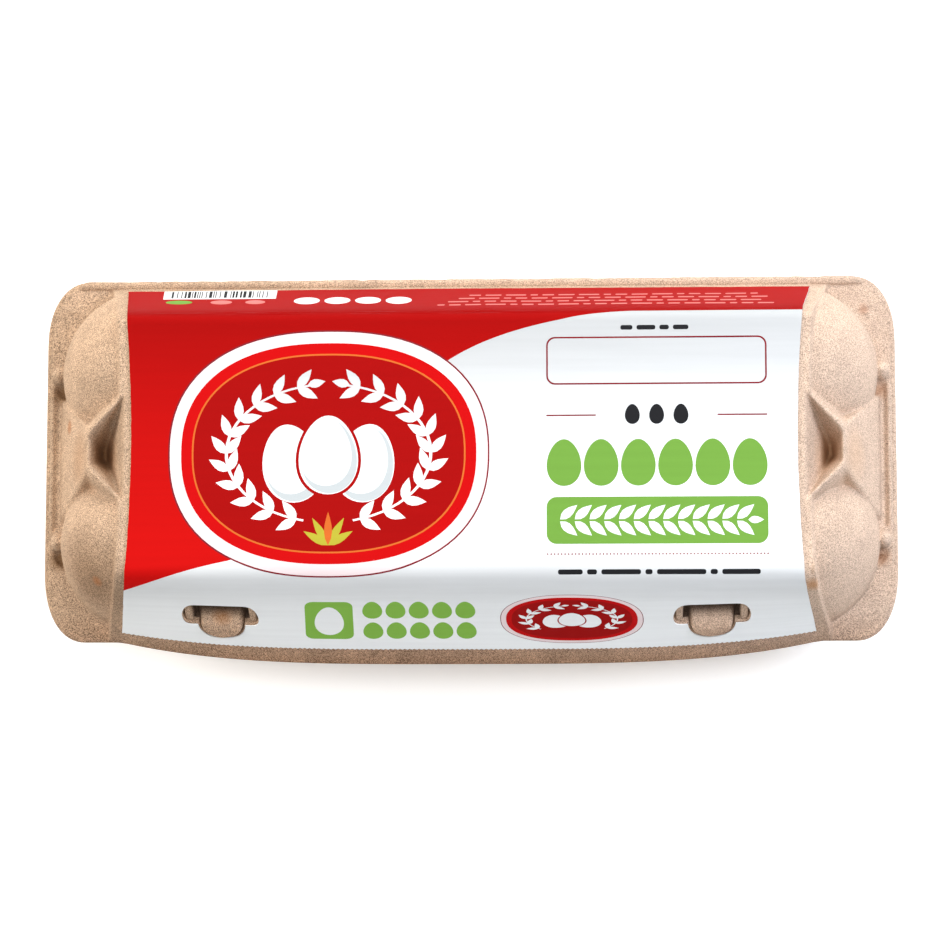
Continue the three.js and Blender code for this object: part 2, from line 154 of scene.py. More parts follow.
def end_wall_height(far_x, far_y):
    """Height of the sloping wall between the domes and of its two arms round the pocket."""
    face = RIM_Z + (126.8 - far_x) * 2.1
    top = np.minimum(66.0 + (113 - far_x) * 0.34, 69.6)
    beside_wall = beyond_line(far_x, far_y, ARM_ROOT, (126.0, 18.7))
    beside_arm = beyond_line(far_x, far_y, ARM_ROOT, (103.1, 15.8))
    beside = smooth_min(beside_wall, beside_arm, 1.2)
    return smooth_min(face, top, 2.0) - 3.2 * smooth_max(beside, 0 * beside, 1.0)


def lid_height(x, y):
    """Height of the lid's outer surface."""
    far_x, far_y = np.abs(x), np.abs(y)
    full_saddle = saddle_height(x, y)
    ridge = RIDGE_X - 0.3 + 0.9 * np.minimum(far_y / FOLD_Y, 1) ** 2
    shoulder = TOP_Z - (far_x - ridge) * RIDGE_SLOPE
    saddle = smooth_min(full_saddle, shoulder, 1.3)
    reach = np.hypot(far_x - 2 * EGG_PITCH_X, far_y - EGG_ROW_Y) / DOME_RADIUS
    dome = DOME_FOOT_Z + DOME_RISE * (1 - np.minimum(reach, 1) ** 2.2) ** 0.62
    dome = np.where(reach < 1, dome, DOME_FOOT_Z - (reach - 1) * 60)
    lean = (TOP_Z - PANEL_FOOT_Z) / (BACK_PANEL_FOOT_Y - FOLD_Y)
    dome = np.where(y > 0, smooth_min(dome, TOP_Z - (far_y - FOLD_Y) * lean, 1.5), dome)
    # A finger of thicker pulp that the mould left on the right end's band
    boss = np.hypot((x - 102.9 - 0.09 * (y + 38)) / 1.7, (y + 39.0) / 5.4)
    saddle = saddle + ease((1 - boss) / 0.32)
    ends = smooth_max(dome, end_wall_height(far_x, far_y), 1.0)
    beyond_ridge = np.maximum(full_saddle - shoulder, 0)
    ends = np.minimum(ends, full_saddle + 0.5 * beyond_ridge)
    outer = smooth_max(saddle, ends, 0.7)
    outer = np.where(shoulder > full_saddle + 1.3, full_saddle, outer)
    outer = np.where(far_x > SADDLE_END, smooth_min(outer, pocket_height(far_x, far_y), 1.1), outer)
    # Lugs on the end flanges, each with a hollow in front, and a shallow groove between them
    row_y = np.where(y > 0, EGG_ROW_Y, -EGG_ROW_Y)
    away = np.hypot((far_x - 126.6) / 2.7, (y - row_y - 0.6) / 2.9)
    lug = RIM_Z + 5.6 * (1 - np.minimum(away, 1) ** 2.6) ** 0.6
    outer = smooth_max(outer, np.where(away < 1.2, lug, 0), 0.7)
    pit_y = np.where(y > 0, 21.2, -30.6)
    pit = np.hypot((far_x - PIT_X - 0.4 * (y - pit_y)) / 2.6, (y - pit_y) / 3.8)
    deep = np.where(x > 0, 0.85, 0.35)
    groove = deep * ease((1.5 - np.abs(far_x - 127.2)) / 1.1) * ease((22.0 - far_y) / 0.8)
    groove = np.maximum(groove, 1.3 * ease((1 - pit) / 0.75))
    lip = 0.5 * ease((0.9 - np.abs(far_x - 129.3)) / 0.6) * ease((23.0 - far_y) / 2)
    # A low crease across the corners behind the domes
    crease = np.abs(y - 46.0 - 0.25 * (far_x - 120)) / 1.1
    lip = np.maximum(lip, 0.35 * ease(1 - crease) * (far_x > 112))
    rim = RIM_Z + lip - groove
    return smooth_max(outer - 0.8 * groove * (outer < 38.5), rim, 0.9)


def add_object(name, data):
    made = bpy.data.objects.new(name, data)
    bpy.context.collection.objects.link(made)
    return made


def make_object(name, points, faces, material=None, shift=SHIFT_Y, smooth=True):
    """A mesh object from points in mm in the carton's own coordinates."""
    mesh = bpy.data.meshes.new(name)
    mesh.from_pydata(((np.asarray(points, dtype=float) + (0, shift, 0)) * MM).tolist(), [], faces)
    mesh.validate()
    mesh.materials.append(material or pulp)
    mesh.polygons.foreach_set("use_smooth", [smooth] * len(mesh.polygons))
    return add_object(name, mesh)


def grid_faces(rows, columns, flipped=False):
    """Quads of a grid whose vertices run along its columns first."""
    faces = []
    for row in range(rows - 1):
        for a in range(row * columns, (row + 1) * columns - 1):
            quad = (a, a + columns, a + columns + 1, a + 1)
            faces.append(quad[::-1] if flipped else quad)
    return faces


def grid_border(rows, columns):
    """Numbers of the vertices round a grid, anticlockwise from above."""
    grid = np.arange(rows * columns).reshape(rows, columns)
    return np.concatenate([grid[:, 0], grid[-1, 1:], grid[-2::-1, -1], grid[0, -2:0:-1]]).tolist()


def close_below(faces, border, first, flipped=False):
    """Joins a border to its copy below, from vertex first on, and that copy to the middle after it."""
    middle = first + len(border)
    for i, corner in enumerate(border):
        j = (i + 1) % len(border)
        wall, fill = (corner, first + i, first + j, border[j]), (first + i, middle, first + j)
        faces += [wall[::-1], fill[::-1]] if flipped else [wall, fill]


def tube_faces(rings, count, capped=True):
    """Quads between rings of count vertices each, and a cap on both ends."""
    faces = []
    for first in range(0, (rings - 1) * count, count):
        for i in range(count):
            a, b = first + i, first + (i + 1) % count
            faces.append((a, b, b + count, a + count))
    if capped:
        faces += [tuple(range(count))[::-1], tuple(range((rings - 1) * count, rings * count))]
    return faces


# Materials -----------------------------------------------------------------------------------
def linear(hex_colour):
    """An sRGB hex colour as the linear values that Blender works in."""
    parts = [int(hex_colour[i : i + 2], 16) / 255 for i in (1, 3, 5)]
    return tuple(c / 12.92 if c <= 0.04045 else ((c + 0.055) / 1.055) ** 2.4 for c in parts) + (1.0,)


def node(tree, kind, settings, output=None):
    """Adds a node, fills its properties and inputs, links the sockets among them, and gives an output."""
    made = tree.nodes.new(kind if kind.startswith(("Geometry", "NodeGroup")) else "ShaderNode" + kind)
    for name, value in settings.items():
        if isinstance(name, str) and name not in made.inputs:
            setattr(made, name, value)
        elif isinstance(value, bpy.types.NodeSocket):
            tree.links.new(made.inputs[name], value)
        else:
            made.inputs[name].default_value = value
    return made.outputs[output] if output else next((s for s in made.outputs if s.enabled), None)


def new_material(name):
    material = bpy.data.materials.new(name)
    material.use_nodes = True
    material.node_tree.nodes.clear()
    return material, material.node_tree


def finish_material(tree, settings, place=None, noises=(), bump=()):
    """The shader, with a relief of noises that are each given by size in mm, detail and height."""
    height = 0.0
    for size, detail, share in noises:
        rough = node(tree, "TexNoise", {"Scale": 1 / (size * MM), "Detail": detail, "Vector": place})
        height = node(tree, "Math", {"operation": "MULTIPLY_ADD", 0: rough, 1: share, 2: height})
    if noises:
        strength, distance = bump
        settings["Normal"] = node(tree, "Bump",
                                  {"Strength": strength, "Distance": distance * MM, "Height": height})
    shader = node(tree, "BsdfPrincipled", settings)
    node(tree, "OutputMaterial", {"Surface": shader})


def pulp_material():
    """Recycled newspaper pulp, moulded wet and oven dried: matt, furry and finely grained."""
    material, tree = new_material("moulded_pulp")
    place = node(tree, "TexCoord", {}, "Object")
    x, y, z = node(tree, "SeparateXYZ", {"Vector": place}).node.outputs
    # Painted light: the pulp is painted paler and cooler towards the +x end, where more light falls
    painted_end_light = node(tree, "MapRange", {"From Min": -130 * MM, "From Max": 130 * MM, "Value": x})
    base = node(tree, "Mix", {"data_type": "RGBA", 0: painted_end_light, 6: linear("#b99c81"), 7: linear("#ccb29d")})
    # Painted shade: the front edge, which faces away from the light, and one dome's low front side are
    # painted browner
    front_shade = node(tree, "MapRange", {"From Min": -44 * MM, "From Max": -62 * MM, "To Max": 0.9, "Value": y})
    away = node(tree, "VectorMath",
                {"operation": "DISTANCE", 0: place, 1: Vector((-115.5, -37.5, 60.0)) * MM})
    dome_shade = node(tree, "MapRange", {"From Min": 21 * MM, "From Max": 6 * MM, "To Max": 0.9, "Value": away})
    for share, brown in ((front_shade, "#9b7356"), (dome_shade, "#8a6f57")):
        base = node(tree, "Mix", {"data_type": "RGBA", 0: share, 6: base, 7: linear(brown)})
    # Each cloud: size in mm, detail, darkest and lightest tone, and the noise that is lightest. The
    # first are clumps of fibres, which are too fine to show and are drawn at 0.28 mm, as coarse as it
    # takes; then softer clouds of a millimetre and of seven, and broad stains
    tone = 1.0
    for size, detail, dark, light, lightest in (
        (1 / 3.6, 1, 0.45, 1.2, 0.6), (1 / 1.15, 2, 0.9, 1.1, 0.7), (1 / 0.15, 3, 0.94, 1.06, 0.7),
        (1 / 0.024, 2, 0.95, 1.05, 0.7)
    ):
        cloud = node(tree, "TexNoise", {"Scale": 1 / (size * MM), "Detail": detail, "Vector": place})
        share = node(tree, "MapRange", {"From Min": 0.3, "From Max": lightest, "To Min": dark,
                                        "To Max": light, "Value": cloud})
        tone = node(tree, "Math", {"operation": "MULTIPLY", 0: tone, 1: share})
    # The grain shows most at the darker end and on the front edge, and the rim is darker, up to 39 mm high
    coarse = node(tree, "MapRange", {"From Min": -120 * MM, "From Max": 100 * MM, "To Min": 1.4,
                                     "To Max": 0.95, "Value": x})
    coarse = node(tree, "Math", {"operation": "ADD", 0: coarse, 1: front_shade})
    tone = node(tree, "Math", {"operation": "POWER", 0: tone, 1: coarse})
    rim_darkening = node(tree, "MapRange",
                   {"From Min": 36.8 * MM, "From Max": 39.2 * MM, "To Min": 0.92, "Value": z})
    tone = node(tree, "Math", {"operation": "MULTIPLY", 0: tone, 1: rim_darkening})
    colour = node(tree, "VectorMath", {"operation": "SCALE", 0: base, "Scale": tone})
    # Painted shade browns the pockets and painted shadows darken the pits in front of the lugs, and two
    # places are rusty
    layers = []
    for centre, radius, strength, stain_and_shade in (
        ((-109.5, 1.7, 53.0), 13.0, 0.7, "#9a6d45"), ((109.5, 1.7, 53.0), 13.0, 0.6, "#c9a07b"),
        ((-110.2, 1.7, 52.5), 8.0, 0.7, "#6b492c"), ((110.2, 1.7, 52.5), 8.0, 0.7, "#946a47"),
        ((-126.2, 24.0, 35.7), 4.6, 0.8, "#70502f"), ((-126.2, -27.5, 35.7), 4.6, 0.8, "#70502f"),
        ((126.2, 24.0, 35.7), 3.8, 0.55, "#a87a56"), ((126.2, -27.5, 35.7), 3.8, 0.55, "#a87a56"),
        ((-73.8, -46.2, 54.5), 4.2, 0.62, "#a5682c"), ((103.3, -38.5, 66.5), 3.4, 0.6, "#b0763c"),
    ):
        away = node(tree, "VectorMath", {"operation": "DISTANCE", 0: place, 1: Vector(centre) * MM})
        share = node(tree, "MapRange", {"From Min": radius * MM, "From Max": radius * 0.3 * MM,
                                        "To Max": strength, "Value": away})
        layers.append((share, stain_and_shade))
    # Flecks of printed newspaper half a millimetre across, 2.4 mm apart and few, and rusty spots of
    # brown board of two or three millimetres, 11 mm apart and fewer
    for apart, reach, rare, strength, stain_and_shade in (
        (1 / 0.42, 0.16, 0.985, 0.8, "#3c2b20"), (1 / 0.09, 0.24, 0.972, 0.5, "#9c5a26")
    ):
        cells = node(tree, "TexVoronoi", {"Scale": 1 / (apart * MM), "Vector": place}).node.outputs
        shape = node(tree, "MapRange", {"From Min": reach, "From Max": reach * 0.5,
                                        "To Max": strength, "Value": cells["Distance"]})
        pick = node(tree, "SeparateColor", {"Color": cells["Color"]}, "Red")
        few = node(tree, "Math", {"operation": "GREATER_THAN", 0: pick, 1: rare})
        spots = node(tree, "Math", {"operation": "MULTIPLY", 0: shape, 1: few})
        layers.append((spots, stain_and_shade))
    # Painted shade: the lock tabs are painted dark where they lie deep behind the hole's top edge
    pinched = node(tree, "Attribute", {"attribute_name": "pinched"}, "Fac")
    for share, stain_and_shade in (*layers, (pinched, "#33231a")):
        colour = node(tree, "Mix", {"data_type": "RGBA", 0: share, 6: colour, 7: linear(stain_and_shade)})
    # A dry felt of fibres in lumps of half a millimetre and of two, without gloss
    finish_material(tree, {"Base Color": colour, "Roughness": 0.95, "IOR": 1.45, "Specular IOR Level": 0.15},
                    place, ((1 / 1.9, 2, 1.0), (1 / 0.42, 3, 1.5)), (0.6, 0.3))
    return material


def paper_material():
    """Coated label paper, offset printed: the colour of each ink, with painted light and shade, is in the
    mesh, the gloss is low.
    """
    material, tree = new_material("coated_label_paper")
    printed = node(tree, "VertexColor", {"layer_name": "ink"})
    # The flat map is in mm: faint streaks of painted sheen, 50 mm long and 1.8 mm wide
    flat = node(tree, "UVMap", {"uv_map": "flat"})
    stretched = node(tree, "Mapping", {"Scale": (1 / 50, 1 / 1.81818, 1), "Vector": flat})
    sheen_streaks = node(tree, "TexNoise",
                   {"noise_dimensions": "2D", "Scale": 1.0, "Detail": 2, "Vector": stretched})
    tone = node(tree, "MapRange",
                {"From Min": 0.3, "From Max": 0.7, "To Min": 0.975, "To Max": 1.012, "Value": sheen_streaks})
    printed = node(tree, "VectorMath", {"operation": "SCALE", 0: printed, "Scale": tone})
    # Glued paper lies in faint waves of 17 mm, and its tooth of a millimetre hardly shows
    place = node(tree, "TexCoord", {}, "Object")
    finish_material(tree, {"Base Color": printed, "Roughness": 0.7, "IOR": 1.5, "Specular IOR Level": 0.04},
                    place, ((1 / 0.06, 2, 1.0), (1 / 0.9, 1, 0.06)), (0.25, 0.6))
    return material


pulp = pulp_material()
paper = paper_material()


# The lock holes and tabs ---------------------------------------------------------------------
def lock_frame(side):
    """Across, up the slope and out of the front panel at a lock, and the fold above it."""
    x = side * LOCK_X
    run = FRONT_Y + float(bow_at(x)) - FOLD_Y
    drop = TOP_Z - PANEL_FOOT_Z
    turn = float(bow_at(x - 1) - bow_at(x + 1)) / 4
    up = Vector((0, run, drop)).normalized()
    across = Vector((1, turn, 0))
    across = (across - up * across.dot(up)).normalized()
    return across, up, across.cross(up), Vector((x, -FOLD_Y, TOP_Z))


def lock_point(lock, a, s, w):
    """A point from its place across, down the slope and out of the panel."""
    across, up, out, fold = lock
    return fold + across * a - up * s + out * w


def bezier(steps, *handles):
    points = []
    for step in range(1, steps + 1):
        t = step / steps
        shares = (1 - t) ** 3, 3 * t * (1 - t) ** 2, 3 * t * t * (1 - t), t**3
        points.append(tuple(sum(p[k] * share for p, share in zip(handles, shares)) for k in (0, 1)))
    return points


def hole_outline(grow=0.0):
    """Half the hole's outline is drawn and mirrored: a slot with rounded wings over a lobe."""
    top, wing_foot, foot = HOLE_TOP - grow, HOLE_WING_FOOT + grow, HOLE_FOOT + grow
    wing, half = HOLE_WING_HALF + grow, HOLE_HALF + grow
    right = [(half, top)]
    right += bezier(8, (half, top), (wing - 1.6, top), (wing - 0.4, top + 2.2), (wing, top + 5.6))
    right += bezier(6, (wing, top + 5.6), (wing, wing_foot - 0.6), (wing - 0.9, wing_foot),
                    (wing - 2.8, wing_foot))
    right += [(half, wing_foot)]
    right += bezier(12, (half, wing_foot), (half - 0.5, wing_foot + 4.3), (half - 2.8, foot), (0, foot))
    return right + [(-a, s) for a, s in reversed(right[:-1])]


def plain_copy(piece):
    """Replaces a piece's mesh by what its modifiers make of it."""
    graph = bpy.context.evaluated_depsgraph_get()
    mesh = bpy.data.meshes.new_from_object(piece.evaluated_get(graph), depsgraph=graph)
    old = piece.data
    piece.modifiers.clear()
    piece.data = mesh
    mesh.name = piece.name
    bpy.data.meshes.remove(old)


def cut(piece, lock, outline, low, high):
    """Cuts a prism through the front panel out of a piece."""
    points = [lock_point(lock, a, s, w) for w in (high, low) for a, s in outline]
    tool = make_object("cutter", points, tube_faces(2, len(outline)), smooth=False)
    modifier = piece.modifiers.new("cut", "BOOLEAN")
    modifier.operation = "DIFFERENCE"
    modifier.solver = "EXACT"
    modifier.object = tool
    plain_copy(piece)
    bpy.data.meshes.remove(tool.data)


# The lid -------------------------------------------------------------------------------------
def make_lid():
    middle = np.arange(0, CALM_END, 2.0)
    end = np.append(np.arange(CALM_END, HALF_LENGTH - 0.5, 0.42), [HALF_LENGTH - 0.45, HALF_LENGTH])
    half = np.concatenate([middle, end])
    xs = np.concatenate([-half[:0:-1], half])
    near = np.append(np.arange(0, FRONT_Y - 0.5, 0.5), [FRONT_Y - 0.45, FRONT_Y])
    nominal = np.concatenate([-near[:0:-1], near])
    x = np.repeat(xs[:, None], len(nominal), axis=1)
    size = np.repeat(np.abs(nominal)[None, :], len(xs), axis=0)
    sign = np.sign(nominal)[None, :]
    y = np.zeros_like(x)
    for is_front in (True, False):
        straight = straight_y(x, is_front)
        stretch = (straight - FOLD_Y) / (FRONT_Y - FOLD_Y)
        spread = np.where(size <= FOLD_Y, size, FOLD_Y + (size - FOLD_Y) * stretch)
        edge = rim_y(x, is_front) / straight
        chosen = (sign < 0) if is_front else (sign >= 0)
        y = np.where(chosen, sign * spread * edge, y)
    # The lid ends a little short of the tray's rim, with a slightly ragged edge
    ragged = 0.8 + 0.15 * lumps(x, y, 3.4, 71) + 0.1 * lumps(x, y, 1.5, 72)
    x = np.sign(x) * (np.abs(x) - ragged * ease((np.abs(x) - 124) / 7))
    z = lid_height(x, y)
    rough = 0.09 * lumps(x, y, 2.2, 3) + 0.07 * lumps(x, y, 5.5, 4) + 0.05 * lumps(x, y, 1.2, 5)
    calm = np.where(np.abs(x) < CALM_END, 0.15, 1.0)
    z = z + rough * calm - 0.08
    # The rim's edge is rounded and a little uneven
    for edge in (z[:, 0], z[:, -1], z[0, :], z[-1, :]):
        edge -= 0.35
    top = np.stack([x, y, z], axis=-1).reshape(-1, 3)
    border = grid_border(*x.shape)
    skirt = top[border].copy()
    skirt[:, 2] = LID_UNDER_Z
    points = np.concatenate([top, skirt, [[0, 0, LID_UNDER_Z]]])
    faces = grid_faces(*x.shape)
    close_below(faces, border, len(top))
    lid = make_object("lid_pulp", points, faces)
    # Behind each lock hole is a slot for the tab
    slot, slot_top = TAB_HALF_WIDTH + TAB_GAP, TAB_TOP - TAB_GAP
    slot_outline = [(-slot, slot_top), (slot, slot_top), (slot, SLOT_FOOT), (-slot, SLOT_FOOT)]
    for lock in (lock_frame(-1), lock_frame(1)):
        cut(lid, lock, slot_outline, -PULP_WALL - 2 * TAB_GAP - TAB_THICKNESS, -PULP_WALL)
        cut(lid, lock, hole_outline(), -PULP_WALL - 0.4, 6)
    return lid


# The label -----------------------------------------------------------------------------------
# How far the paper has run from y = 0, over a grid of places on the saddle
sheet_x = np.linspace(-SHEET_HALF, SHEET_HALF, int(2 * SHEET_HALF / SHEET_STEP) + 1)
sheet_y = np.linspace(-66, 58, 1241)
sheet_grid = np.meshgrid(sheet_x, sheet_y, indexing="ij")
sheet_steps = np.hypot(np.diff(sheet_grid[1], axis=1), np.diff(saddle_height(*sheet_grid), axis=1))
sheet_run = np.pad(np.cumsum(sheet_steps, axis=1), ((0, 0), (1, 0)))
sheet_run -= sheet_run[:, [np.argmin(np.abs(sheet_y))]]


def run_at(x):
    """How far the paper has run at each y, at one x."""
    place = (x + SHEET_HALF) / SHEET_STEP
    row = min(max(floor(place), 0), len(sheet_x) - 2)
    part = place - row
    return sheet_run[row] * (1 - part) + sheet_run[row + 1] * part


def flat_v(x, y):
    """Where a place on the saddle lies on the flat label."""
    return float(np.interp(y, sheet_y, run_at(x)))


def turned(points, cx, cy, angle):
    """Points turned round the origin and moved to (cx, cy)."""
    c, s = cos(angle), sin(angle)
    return [(cx + x * c - y * s, cy + x * s + y * c) for x, y in points]


def oval(cx, cy, half_x, half_y, count=40, power=2.0, egg=0.0, turn=0.0):
    """An oval, a cushion when power is above 2, or an egg when egg is above 0."""
    points = []
    for i in range(count):
        angle = 2 * pi * i / count
        c, s = cos(angle), sin(angle)
        reach = 1 / (abs(c) ** power + abs(s) ** power) ** (1 / power)
        points.append((half_x * reach * c * (1 - egg * reach * s), half_y * reach * s))
    return turned(points, cx, cy, turn)


def bar(left, low, right, high, radius=0.0, steps=4):
    """A rectangle with rounded corners."""
    radius = min(radius, (right - left) / 2 - 0.01, (high - low) / 2 - 0.01)
    if radius <= 0.02:
        return [(left, low), (right, low), (right, high), (left, high)]
    points = []
    for cx, cy, start in ((right - radius, low + radius, -90), (right - radius, high - radius, 0),
                          (left + radius, high - radius, 90), (left + radius, low + radius, 180)):
        for i in range(steps + 1):
            points += turned([(radius, 0)], cx, cy, radians(start + 90 * i / steps))
    return points


def leaf(cx, cy, length, width, turn, steps=5):
    """A pointed grain or leaf from its foot at (cx, cy), turned in degrees."""
    upper = [(length * i / steps, width / 2 * sin(pi * (i / steps) ** 0.8)) for i in range(steps + 1)]
    lower = [(x, -y) for x, y in upper[-2:0:-1]]
    return turned(upper + lower, cx, cy, radians(turn))


INKS = dict(white="#ebeded", shade="#b9bfc0", red="#b80c0a", deep_red="#9a0a09", bright_red="#bd0a0c",
            border="#e8d6d6", green="#6c983f", front_green="#82b34a", gold="#c8652a", leaf="#aea636",
            dark="#222224", rule="#7a2229", pale_red="#c9756f")
prints = []


def ink(name, outline):
    """Prints a shape over what is there."""
    prints.append((name, outline))


def print_badge(cx, cy, scale, squeeze=1.0, small=False):
    """A generic oval badge: three plain eggs inside a wreath of grain."""
    def place(points):
        return [(cx + x * scale, cy + y * scale * squeeze) for x, y in points]

    for name, grow in (("rule", 0.5), ("border", 0.0), ("bright_red", -3.4), ("gold", -6.6),
                       ("deep_red", -7.1)):
        if not (small and name == "gold"):
            ink(name, place(oval(0, 0, 47.5 + grow, 36.5 + grow, 96, 2.35)))
    for x, y, turn in ((-11.0, -3.0, 0.2), (11.0, -3.0, -0.2), (0.0, -0.5, 0.0)):
        half_y = 10.0 if small else 11.8
        shapes = (("deep_red", 0, 0, 9.7, half_y + 0.9), ("white", 0, 0, 8.8, half_y),
                  ("shade", 0.3, -0.5, 8.2, 11.0), ("white", -0.75, 0.95, 7.6, 10.2))
        for name, right, up, wide, high in shapes[: 2 if small else 4]:
            ink(name, place(oval(x + right, y + up, wide, high, 44, egg=0.14, turn=turn)))
    first, pairs, apart, length, width = (-46, 6, 22, 8.2, 3.6) if small else (-76, 11, 14.4, 7.0, 2.9)
    for side in (-1, 1):
        turns = [radians(turn) for turn in range(first, 81, 6)]
        stem = [(side * 31.0 * cos(turn), 21.0 * sin(turn)) for turn in turns]
        ink("white", place(stem + [(x * 0.972, y * 0.972) for x, y in reversed(stem)]))
        for i in range(pairs):
            angle = radians(first + 4 + i * apart)
            x, y = side * 30.6 * cos(angle), 20.7 * sin(angle)
            along = degrees(atan2(21.0 * cos(angle), -side * 31.0 * sin(angle)))
            for lean in (-40, 40):
                ink("white", place(leaf(x, y, length, width, along + lean)))
        ink("white", place(leaf(side * 6.3, 20.5, 5.4, 2.6, 90 + side * 78)))
    if not small:
        for i, (length, turn) in enumerate(((8.5, 150), (8.5, 30), (9.5, 120), (9.5, 60), (10, 90))):
            ink("leaf" if i != 4 else "gold", place(leaf(0, -27.5, length, 2.4, turn)))


def spread_from(first):
    """Widens what is printed on a flap, from number first on, as the flap widens."""
    for i, (name, outline) in enumerate(prints[first:], first):
        prints[i] = (name, [(u * (1 + FLAP_SPREAD * (v - 40 if v > 0 else -v - 42)), v) for u, v in outline])


def design_print():
    """All printed fields, from the ground up. The places are on the flat label, in mm."""
    # Red field on the left with a sweeping edge, and red over the whole back flap
    ink("red", [(-112, 40.5), (112, 40.5), (112, 90), (-112, 90)])
    edge = [(52 - 74 * t, 40.6 - 2.5 * t - 15 * t**1.7 - 14 * t**5) for t in np.linspace(0, 1, 41).tolist()]
    lower = [(-70 - 42 * t, -34 - 14.8 * t + 2.0 * sin(pi * t)) for t in np.linspace(0, 1, 21).tolist()]
    ink("red", [(-112, 41)] + edge + [(-24, -20)] + lower)
    print_badge(-40.0, -2.0, 1.0)
    # Back flap: a white patch of plain bars, ovals and rows of dashes, all spread with the flap
    first = len(prints)
    ink("white", bar(-91, 58.6, -57, 70.4))
    rng = np.random.default_rng(5)
    x = -88.6
    while x < -59.6:
        wide = rng.choice((0.3, 0.3, 0.6, 0.9))
        ink("dark", bar(x, 60.2, x + wide, 69.0))
        x += wide + rng.choice((0.35, 0.35, 0.7, 1.0))
    for i in range(4):
        ink("white", oval(-47.5 + i * 9.2, 55, 3.9, 4.6, 28))
    for row in range(4):
        x, low, step = -8.0 + row * 3, 47.5 + row * 4.2, 0
        while x < 88:
            wide = 2.2 + ((step * 5 + row * 3) % 4) * 1.3
            ink("pale_red", bar(x, low, x + wide, 48.9 + row * 4.2, 0.4, 2))
            x += wide + 1.3
            step += 1
    for left, right, name in ((-90, -82, "green"), (-76.5, -70, "pale_red"), (-66, -60, "pale_red")):
        ink(name, oval((left + right) / 2, 54.2, (right - left) / 2, 2.6, 24))
    spread_from(first)
    # Right: a box to stamp in, rules with eggs between them, green shapes and a dotted line
    left, right = 24.9, 90.3
    ink("rule", bar(left, 18.1, right, 32.5, 2.6, 6))
    ink("white", bar(left + 0.5, 18.6, right - 0.5, 32.0, 2.2, 6))
    for start, end in ((47.0, 50.6), (51.8, 57.4), (58.6, 61.4), (62.6, 67.2)):
        ink("dark", bar(start, 34.5, end, 35.9, 0.6))
    for start in (left, 75.6):
        ink("rule", bar(start, 8.7, start + 14.7, 9.15))
    for i in range(3):
        ink("dark", oval(50.4 + i * 7.2, 9.2, 2.2, 3.0, 28, egg=0.14))
    for i in range(6):
        ink("green", oval(left + 5.2 + i * 11.0, -5.2, 5.1, 7.0, 40, egg=0.14))
    ink("green", bar(left, -29.4, right, -15.4, 3.0, 6))
    for i in range(13):
        for side in (-1, 1):
            ink("white", leaf(left + 4.0 + i * 4.35, -22.4 + side * 0.3, 6.6, 2.7, side * 40))
    ink("white", leaf(left + 59.5, -22.4, 4.6, 2.2, 0))
    for i in range(64):
        ink("rule", oval(left + 0.3 + i * 1.03, -32.4, 0.26, 0.26, 8))
    x = 28.2
    for wide in (8.6, 4.2, 13.0, 3.4, 15.8, 3.4, 12.6):
        ink("dark", bar(x, -38.3, x + wide - 1.3, -36.8, 0.6))
        x += wide
    # Front flap: green shapes and a small badge, spread with the flap too
    first = len(prints)
    ink("front_green", bar(-47.5, -66.8, -33.2, -48.6, 2.4))
    ink("white", oval(-40.35, -58.0, 4.3, 6.8, 44, egg=0.14))
    for row in range(2):
        for i in range(5):
            ink("front_green", oval(-27.4 + i * 6.9, -52.6 - row * 10.0, 2.95, 4.1, 30, egg=0.14))
    print_badge(31.5, -57.3, 0.44, 0.72, small=True)
    spread_from(first)


def inside(points, outline):
    """Which of the points lie inside a closed outline."""
    px, py = points[:, 0], points[:, 1]
    found = np.zeros(len(points), bool)
    for (x0, y0), (x1, y1) in zip([outline[-1], *outline], outline):
        if y1 != y0:
            found ^= ((y1 > py) != (y0 > py)) & (px < (x0 - x1) * (py - y1) / (y0 - y1) + x1)
    return found


def label_outline():
    """The cut edge of the flat label: waisted sides, flared flaps and a fine saw-tooth front."""
    def foot(x, is_front):
        y = FOLD_Y + (float(straight_y(x, is_front)) - FOLD_Y) * LABEL_FOOT_SHARE
        return flat_v(x, -y if is_front else y)

    def half_width(v, is_front):
        flare = LABEL_FLARE_FRONT if is_front else LABEL_FLARE_BACK
        reach = min(max(abs(v) - FOLD_Y, 0) / 31, 1)
        return LABEL_HALF_TOP + LABEL_WAIST * min(abs(v) / FOLD_Y, 1) ** 2 + flare * LABEL_FOOT_SHARE * reach

    rng = np.random.default_rng(11)
    front_v, back_v = foot(105, True), foot(104, False)
    front_half, back_half = half_width(front_v, True), half_width(back_v, False)
    vs = np.linspace(front_v, back_v, 60)
    front = [(x, foot(x, True) + (0.45 if i % 2 else 0.0) + rng.uniform(-0.05, 0.05))
             for i, x in enumerate(np.linspace(-front_half, front_half, 291))]
    right = [(half_width(v, v < 0) + rng.uniform(-0.07, 0.07), v) for v in vs[1:-1]]
    back = [(x, back_v - 0.8 * (x / 104) ** 2 + rng.uniform(-0.12, 0.12))
            for x in np.linspace(back_half, -back_half, 70)]
    left = [(-half_width(v, v < 0) + rng.uniform(-0.07, 0.07), v) for v in vs[-2:0:-1]]
    return front + right + back + left


def hole_on_label(side):
    """The lock hole's outline on the flat label."""
    lock = lock_frame(side)
    points = [lock_point(lock, a, s, 0) for a, s in hole_outline(0.25)]
    return [(point.x, flat_v(point.x, point.y)) for point in points]


